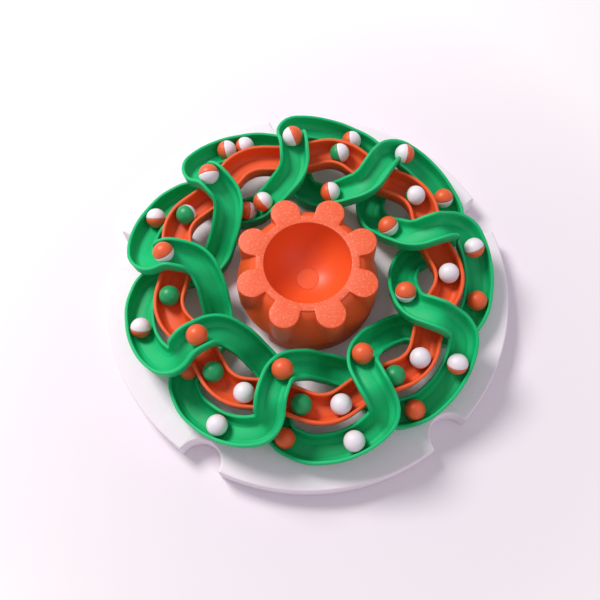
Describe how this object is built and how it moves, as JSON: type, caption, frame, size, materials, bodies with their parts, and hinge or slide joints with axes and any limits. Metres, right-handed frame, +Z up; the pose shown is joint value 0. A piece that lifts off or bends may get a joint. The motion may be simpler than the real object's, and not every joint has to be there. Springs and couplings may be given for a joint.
{
  "type": "ball track puzzle",
  "caption": "Round desk toy: a woven green trough and a wavy orange ring trough on a white base, two-coloured balls and a turning scalloped knob with a bowl.",
  "frame": {"origin": "centre of the base plate's underside, on the knob's axis", "axes": "+Z up along the knob's axis, -Y towards the viewer, +X to the viewer's right"},
  "size_m": [0.1959, 0.1955, 0.0482],
  "materials": {
    "green_print": "printed, fine layer lines",
    "orange_print": "printed, fine layer lines",
    "white_print": "printed, smooth",
    "orange_white_ball": "one half orange, one half white",
    "green_white_ball": "one half green, one half white",
    "zinc_steel": "zinc plated",
    "brass": "turned"
  },
  "bodies": {
    "base": {"base_plate": "white_print", "bolt_bush": "brass", "green_track_segment_1": "green_print", "green_track_segment_2": "green_print", "green_track_segment_3": "green_print", "green_track_segment_4": "green_print", "green_track_segment_5": "green_print", "green_track_segment_6": "green_print", "green_track_segment_7": "green_print", "green_track_segment_8": "green_print", "green_track_segment_9": "green_print", "orange_track_post_1": "white_print", "orange_track_post_2": "white_print", "orange_track_post_3": "white_print", "orange_track_segment_1": "orange_print", "orange_track_segment_2": "orange_print", "orange_track_segment_3": "orange_print"},
    "turning_knob": {"knob": "orange_print", "knob_collar": "orange_print", "bowl_plug": "orange_print", "knob_bolt": "zinc_steel", "bolt_washer": "zinc_steel", "knob_nut": "zinc_steel"},
    "orange_white_ball_01_body": {"orange_white_ball_01": "orange_white_ball"},
    "orange_white_ball_02_body": {"orange_white_ball_02": "orange_white_ball"},
    "orange_white_ball_03_body": {"orange_white_ball_03": "orange_white_ball"},
    "orange_white_ball_04_body": {"orange_white_ball_04": "orange_white_ball"},
    "orange_white_ball_05_body": {"orange_white_ball_05": "orange_white_ball"},
    "orange_white_ball_06_body": {"orange_white_ball_06": "orange_white_ball"},
    "orange_white_ball_07_body": {"orange_white_ball_07": "orange_white_ball"},
    "orange_white_ball_08_body": {"orange_white_ball_08": "orange_white_ball"},
    "orange_white_ball_09_body": {"orange_white_ball_09": "orange_white_ball"},
    "orange_white_ball_10_body": {"orange_white_ball_10": "orange_white_ball"},
    "orange_white_ball_11_body": {"orange_white_ball_11": "orange_white_ball"},
    "orange_white_ball_12_body": {"orange_white_ball_12": "orange_white_ball"},
    "orange_white_ball_13_body": {"orange_white_ball_13": "orange_white_ball"},
    "orange_white_ball_14_body": {"orange_white_ball_14": "orange_white_ball"},
    "orange_white_ball_15_body": {"orange_white_ball_15": "orange_white_ball"},
    "orange_white_ball_16_body": {"orange_white_ball_16": "orange_white_ball"},
    "orange_white_ball_17_body": {"orange_white_ball_17": "orange_white_ball"},
    "orange_white_ball_18_body": {"orange_white_ball_18": "orange_white_ball"},
    "orange_white_ball_19_body": {"orange_white_ball_19": "orange_white_ball"},
    "orange_white_ball_20_body": {"orange_white_ball_20": "orange_white_ball"},
    "orange_white_ball_21_body": {"orange_white_ball_21": "orange_white_ball"},
    "orange_white_ball_22_body": {"orange_white_ball_22": "orange_white_ball"},
    "orange_white_ball_23_body": {"orange_white_ball_23": "orange_white_ball"},
    "orange_white_ball_24_body": {"orange_white_ball_24": "orange_white_ball"},
    "orange_white_ball_25_body": {"orange_white_ball_25": "orange_white_ball"},
    "orange_white_ball_26_body": {"orange_white_ball_26": "orange_white_ball"},
    "green_white_ball_01_body": {"green_white_ball_01": "green_white_ball"},
    "green_white_ball_02_body": {"green_white_ball_02": "green_white_ball"},
    "green_white_ball_03_body": {"green_white_ball_03": "green_white_ball"},
    "green_white_ball_04_body": {"green_white_ball_04": "green_white_ball"},
    "green_white_ball_05_body": {"green_white_ball_05": "green_white_ball"},
    "green_white_ball_06_body": {"green_white_ball_06": "green_white_ball"},
    "green_white_ball_07_body": {"green_white_ball_07": "green_white_ball"},
    "green_white_ball_08_body": {"green_white_ball_08": "green_white_ball"},
    "green_white_ball_09_body": {"green_white_ball_09": "green_white_ball"},
    "green_white_ball_10_body": {"green_white_ball_10": "green_white_ball"},
    "green_white_ball_11_body": {"green_white_ball_11": "green_white_ball"}
  },
  "joints": [
    {"name": "knob_turn", "type": "hinge", "parent": "base", "child": "turning_knob", "pos_m": [0, 0, 0], "axis": [0, 0, 1], "continuous": true},
    {"name": "orange_white_ball_01_roll", "type": "hinge", "parent": "base", "child": "orange_white_ball_01_body", "pos_m": [0.01547, 0.05075, 0.03822], "axis": [0.386, 0.4167, 0.823], "range_deg": [-14.14, 15.94]},
    {"name": "orange_white_ball_02_roll", "type": "hinge", "parent": "base", "child": "orange_white_ball_02_body", "pos_m": [-0.00911, 0.06169, 0.02904], "axis": [0.9796, 0.1145, -0.1649], "range_deg": [-33.03, 48.18]},
    {"name": "orange_white_ball_03_roll", "type": "hinge", "parent": "base", "child": "orange_white_ball_03_body", "pos_m": [-0.00397, 0.07826, -0.00294], "axis": [0.6854, -0.6136, -0.3921], "range_deg": [-13.99, 0]},
    {"name": "orange_white_ball_04_roll", "type": "hinge", "parent": "base", "child": "orange_white_ball_04_body", "pos_m": [-0.03306, 0.04544, 0.02705], "axis": [0.2119, 0.6711, -0.7105], "range_deg": [0, 37.92]},
    {"name": "orange_white_ball_05_roll", "type": "hinge", "parent": "base", "child": "orange_white_ball_05_body", "pos_m": [-0.02404, 0.05902, 0.03034], "axis": [0.0392, 0.5345, 0.8443], "range_deg": [-23.68, 0]},
    {"name": "orange_white_ball_06_roll", "type": "hinge", "parent": "base", "child": "orange_white_ball_06_body", "pos_m": [-0.01163, 0.04736, 0.05645], "axis": [-0.1973, 0.7066, 0.6796], "range_deg": [0, 10.7]},
    {"name": "orange_white_ball_07_roll", "type": "hinge", "parent": "base", "child": "orange_white_ball_07_body", "pos_m": [-0.04697, 0.04067, 0.02848], "axis": [0.682, 0.7001, -0.2113], "range_deg": [-38.2, 43.74]},
    {"name": "orange_white_ball_08_roll", "type": "hinge", "parent": "base", "child": "orange_white_ball_08_body", "pos_m": [-0.03727, 0.01981, 0.03846], "axis": [-0.2422, 0.4114, 0.8787], "range_deg": [-11.42, 12.25]},
    {"name": "orange_white_ball_09_roll", "type": "hinge", "parent": "base", "child": "orange_white_ball_09_body", "pos_m": [-0.06223, 0.00141, 0.02882], "axis": [0.0643, 0.9805, -0.1855], "range_deg": [-35.89, 46.06]},
    {"name": "orange_white_ball_10_roll", "type": "hinge", "parent": "base", "child": "orange_white_ball_10_body", "pos_m": [-0.03494, -0.00581, 0.04286], "axis": [-0.4772, 0.1568, 0.8647], "range_deg": [-9.97, 10.27]},
    {"name": "orange_white_ball_11_roll", "type": "hinge", "parent": "base", "child": "orange_white_ball_11_body", "pos_m": [-0.0435, -0.04747, 0.02432], "axis": [-0.5074, 0.6559, -0.5589], "range_deg": [-17.1, 26.42]},
    {"name": "orange_white_ball_12_roll", "type": "hinge", "parent": "base", "child": "orange_white_ball_12_body", "pos_m": [-0.02658, -0.05568, 0.01952], "axis": [-0.0035, 0.0021, 1], "range_deg": [-16.08, 13.78]},
    {"name": "orange_white_ball_13_roll", "type": "hinge", "parent": "base", "child": "orange_white_ball_13_body", "pos_m": [-0.0283, -0.03682, 0.03876], "axis": [-0.4708, -0.2056, 0.858], "range_deg": [-13.46, 13.69]},
    {"name": "orange_white_ball_14_roll", "type": "hinge", "parent": "base", "child": "orange_white_ball_14_body", "pos_m": [-0.00073, -0.06155, 0.03556], "axis": [-0.4885, -0.0842, -0.8685], "range_deg": [-38.51, 37.3]},
    {"name": "orange_white_ball_15_roll", "type": "hinge", "parent": "base", "child": "orange_white_ball_15_body", "pos_m": [-0.00119, -0.06698, 0.02027], "axis": [-0.067, -0.0276, 0.9974], "range_deg": [-40.38, 37.86]},
    {"name": "orange_white_ball_16_roll", "type": "hinge", "parent": "base", "child": "orange_white_ball_16_body", "pos_m": [0.00444, -0.05026, 0.03761], "axis": [-0.2279, -0.4653, 0.8553], "range_deg": [-15.21, 15.98]},
    {"name": "orange_white_ball_17_roll", "type": "hinge", "parent": "base", "child": "orange_white_ball_17_body", "pos_m": [0.03811, -0.04742, 0.03483], "axis": [-0.3846, -0.3755, -0.8432], "range_deg": [-39.09, 33.24]},
    {"name": "orange_white_ball_18_roll", "type": "hinge", "parent": "base", "child": "orange_white_ball_18_body", "pos_m": [0.03959, -0.04046, 0.02718], "axis": [0.0145, -0.3077, 0.9514], "range_deg": [-19.66, 18.5]},
    {"name": "orange_white_ball_19_roll", "type": "hinge", "parent": "base", "child": "orange_white_ball_19_body", "pos_m": [0.02315, -0.03378, 0.04768], "axis": [0.2334, -0.5422, 0.8072], "range_deg": [-10.78, 10.67]},
    {"name": "orange_white_ball_20_roll", "type": "hinge", "parent": "base", "child": "orange_white_ball_20_body", "pos_m": [0.06838, -0.0134, 0.0251], "axis": [-0.3709, -0.5742, -0.7299], "range_deg": [-22.83, 26.99]},
    {"name": "orange_white_ball_21_roll", "type": "hinge", "parent": "base", "child": "orange_white_ball_21_body", "pos_m": [0.05926, -0.00758, 0.03321], "axis": [0.4551, -0.3075, 0.8357], "range_deg": [-19.12, 17.25]},
    {"name": "orange_white_ball_22_roll", "type": "hinge", "parent": "base", "child": "orange_white_ball_22_body", "pos_m": [0.03802, -0.01837, 0.0588], "axis": [0.6553, -0.1734, 0.7352], "range_deg": [-7.71, 5.34]},
    {"name": "orange_white_ball_23_roll", "type": "hinge", "parent": "base", "child": "orange_white_ball_23_body", "pos_m": [0.07537, 0.03354, 0.01124], "axis": [-0.1319, -0.7751, -0.618], "range_deg": [-15.84, 16.93]},
    {"name": "orange_white_ball_24_roll", "type": "hinge", "parent": "base", "child": "orange_white_ball_24_body", "pos_m": [0.04681, 0.03064, 0.03623], "axis": [0.5599, 0.0646, 0.8261], "range_deg": [-15.88, 17.71]},
    {"name": "orange_white_ball_25_roll", "type": "hinge", "parent": "base", "child": "orange_white_ball_25_body", "pos_m": [0.04694, 0.04979, 0.03652], "axis": [0.5993, 0.2001, 0.7752], "range_deg": [-21.01, 45.31]},
    {"name": "orange_white_ball_26_roll", "type": "hinge", "parent": "base", "child": "orange_white_ball_26_body", "pos_m": [0.04576, 0.08589, 0.00305], "axis": [0.3768, -0.6892, -0.6189], "range_deg": [-11.47, 10.6]},
    {"name": "green_white_ball_01_roll", "type": "hinge", "parent": "base", "child": "green_white_ball_01_body", "pos_m": [-0.04102, 0.01716, 0.0314], "axis": [0, 0, 1], "range_deg": [-24.3, 24.1]},
    {"name": "green_white_ball_02_roll", "type": "hinge", "parent": "base", "child": "green_white_ball_02_body", "pos_m": [-0.0361, -0.01276, 0.0314], "axis": [0, 0, 1], "range_deg": [-17.79, 18.58]},
    {"name": "green_white_ball_03_roll", "type": "hinge", "parent": "base", "child": "green_white_ball_03_body", "pos_m": [-0.00395, -0.02407, 0.0314], "axis": [0, 0, 1], "range_deg": [-8.24, 4.43]},
    {"name": "green_white_ball_04_roll", "type": "hinge", "parent": "base", "child": "green_white_ball_04_body", "pos_m": [-0.02118, -0.01599, 0.0314], "axis": [0, 0, 1], "range_deg": [-4.7, 8.06]},
    {"name": "green_white_ball_05_roll", "type": "hinge", "parent": "base", "child": "green_white_ball_05_body", "pos_m": [0.02581, 0.01615, 0.0314], "axis": [0, 0, 1], "range_deg": [-3.05, 2.71]},
    {"name": "green_white_ball_06_roll", "type": "hinge", "parent": "base", "child": "green_white_ball_06_body", "pos_m": [0.00133, -0.03643, 0.0314], "axis": [0, 0, 1], "range_deg": [-7.62, 14.4]},
    {"name": "green_white_ball_07_roll", "type": "slide", "parent": "base", "child": "green_white_ball_07_body", "axis": [0.9469, 0.3215, 0], "range_m": [-0.0045, 0.002]},
    {"name": "green_white_ball_08_roll", "type": "hinge", "parent": "base", "child": "green_white_ball_08_body", "pos_m": [0.03274, -0.03074, 0.0314], "axis": [0, 0, 1], "range_deg": [-5.48, 24.68]},
    {"name": "green_white_ball_09_roll", "type": "hinge", "parent": "base", "child": "green_white_ball_09_body", "pos_m": [0.04657, -0.00212, 0.0314], "axis": [0, 0, 1], "range_deg": [-26.76, 26.94]},
    {"name": "green_white_ball_10_roll", "type": "hinge", "parent": "base", "child": "green_white_ball_10_body", "pos_m": [0.038, 0.02888, 0.0314], "axis": [0, 0, 1], "range_deg": [-28.41, 28.44]},
    {"name": "green_white_ball_11_roll", "type": "hinge", "parent": "base", "child": "green_white_ball_11_body", "pos_m": [0.01057, 0.04599, 0.0314], "axis": [0, 0, 1], "range_deg": [-27.71, 27.59]}
  ]
}
